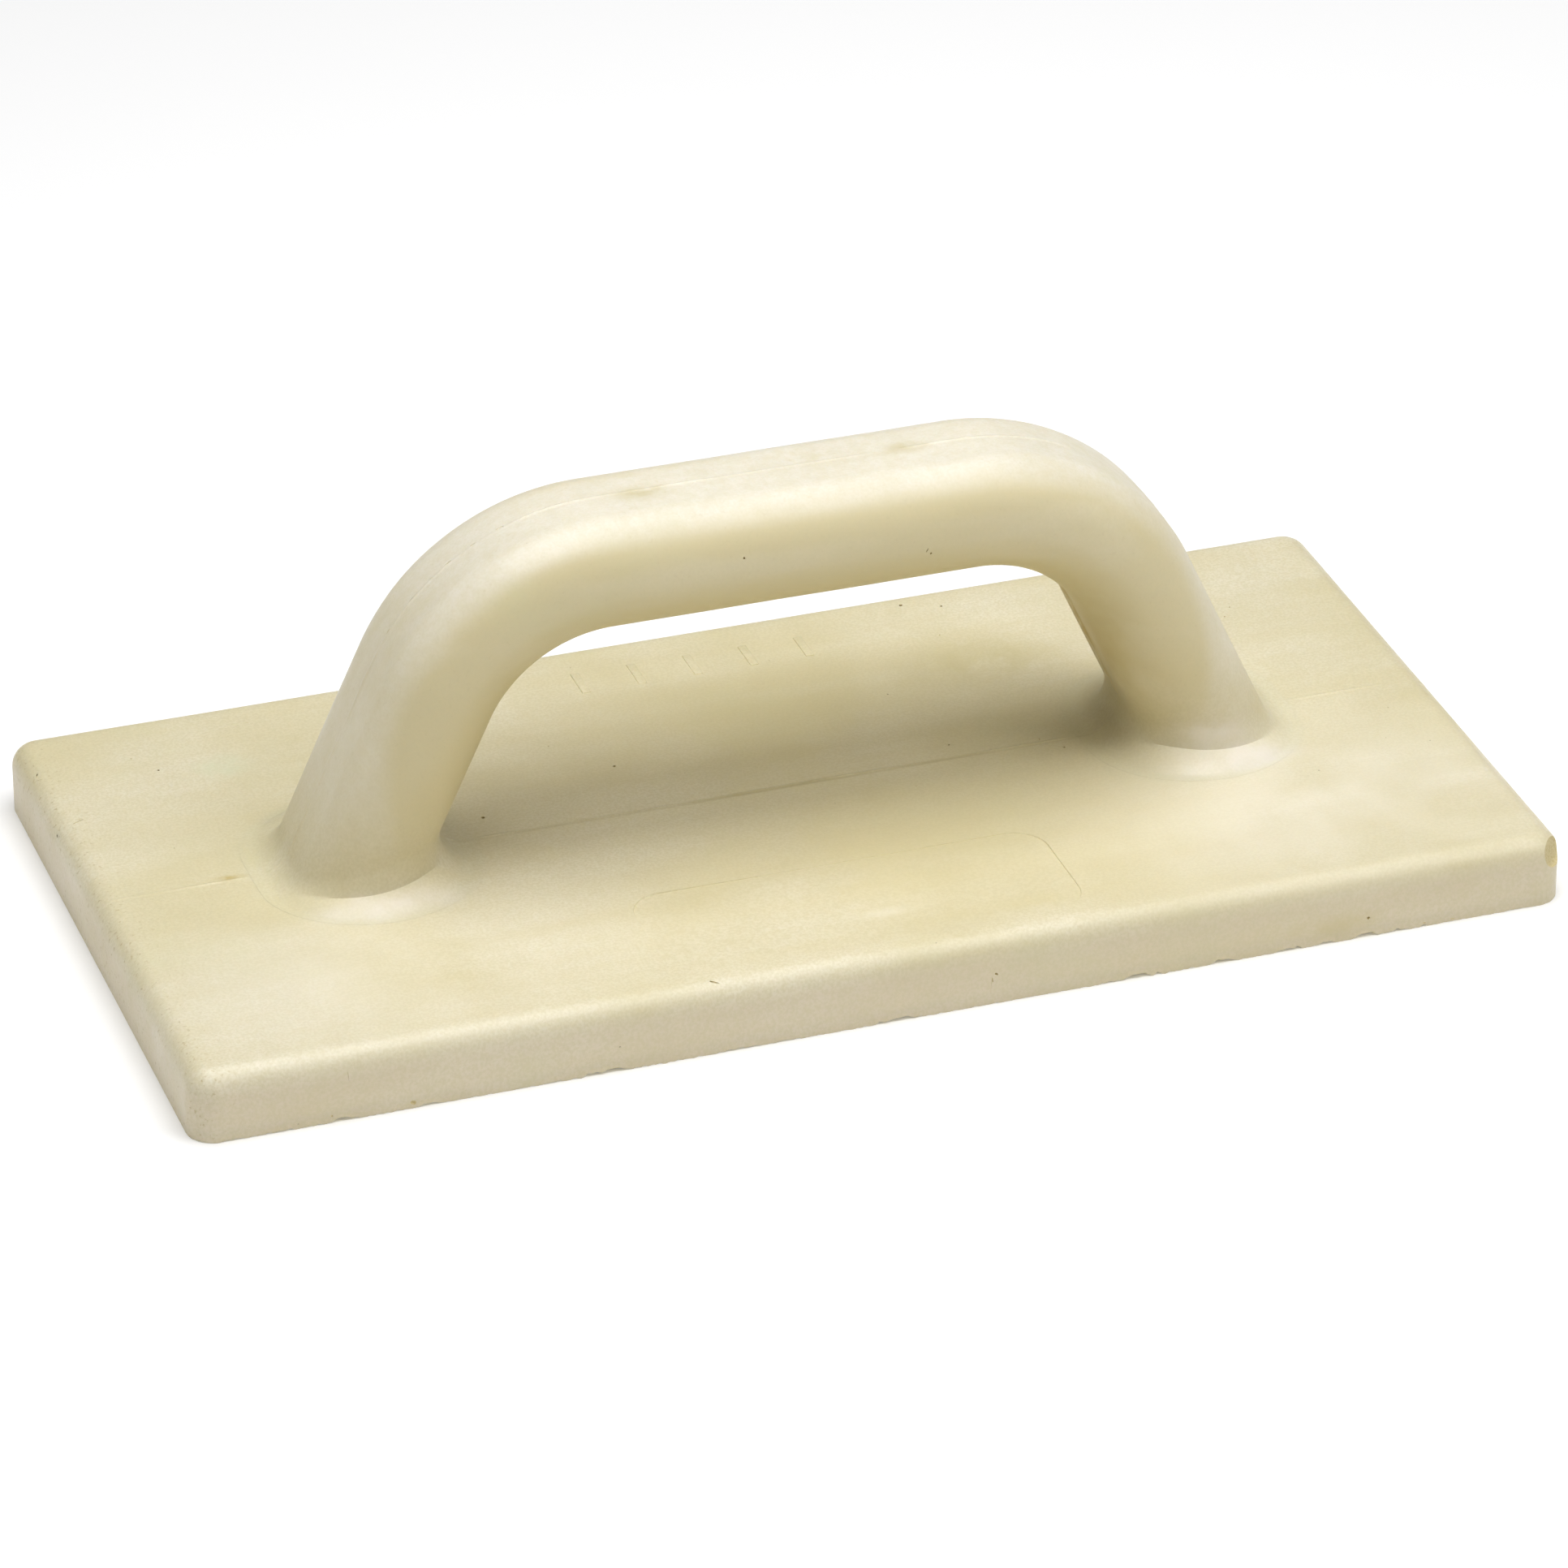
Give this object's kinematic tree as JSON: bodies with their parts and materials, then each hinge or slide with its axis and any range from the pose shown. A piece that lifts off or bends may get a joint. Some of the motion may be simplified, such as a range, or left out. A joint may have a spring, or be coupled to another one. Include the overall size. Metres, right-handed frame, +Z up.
{
  "type": "plastering float",
  "caption": "Hand float for smoothing plaster and render: a flat rectangular foam blade with a solid arched handle cast onto it.",
  "frame": {"origin": "centre of the rubbing face, on the plane that the float rests on", "axes": "+X along the blade's length and the handle's grip, +Y across the blade away from the sunk blank panel, +Z up through the handle"},
  "size_m": [0.28, 0.14, 0.0855],
  "materials": {
    "moulded_skin": "cream integral-skin polyurethane, as moulded, low sheen",
    "rubbing_skin": "cream integral-skin polyurethane, flat and fine-pored",
    "cellular_core": "cream closed-cell polyurethane foam"
  },
  "bodies": {
    "root": {"handle_skin": "moulded_skin", "handle_core": "cellular_core", "blade_skin": "moulded_skin", "blade_core": "cellular_core", "rubbing_face": "rubbing_skin"}
  },
  "joints": []
}
